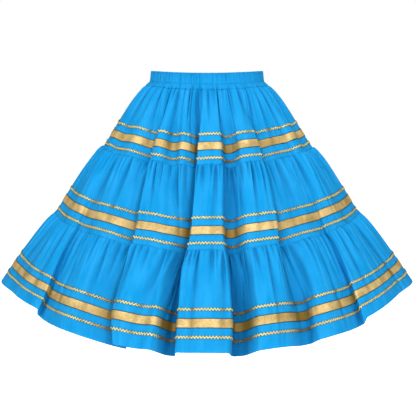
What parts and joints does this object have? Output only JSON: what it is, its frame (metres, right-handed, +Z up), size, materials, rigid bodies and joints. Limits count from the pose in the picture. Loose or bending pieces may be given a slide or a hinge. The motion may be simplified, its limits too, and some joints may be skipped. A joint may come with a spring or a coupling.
{
  "type": "square dance skirt",
  "caption": "Knee-length tiered skirt with an elastic waistband, gathered tiers and rows of gold ribbon and rickrack, filled out as worn and open at waist and hem.",
  "frame": {"origin": "middle of the waist opening, half way down the elastic casing, where the wearer's waist holds the skirt", "axes": "+Z up out of the waist, -Y the wearer's front, +X the wearer's left"},
  "size_m": [0.8662, 0.7157, 0.5085],
  "materials": {
    "cloth": "matte plain-weave cotton blend, bright azure blue",
    "ribbon": "woven metallic gold ribbon, satiny",
    "braid": "metallic gold rickrack"
  },
  "bodies": {
    "root": {"waistband": "cloth", "upper_tier_front": "cloth", "upper_tier_back": "cloth", "middle_tier_front": "cloth", "middle_tier_back": "cloth", "lower_tier_front": "cloth", "lower_tier_back": "cloth", "upper_ribbon": "ribbon", "middle_ribbon": "ribbon", "lower_ribbon": "ribbon", "upper_braid_top": "braid", "upper_braid_bottom": "braid", "middle_braid_top": "braid", "middle_braid_bottom": "braid", "lower_braid_top": "braid", "lower_braid_bottom": "braid"}
  },
  "joints": []
}
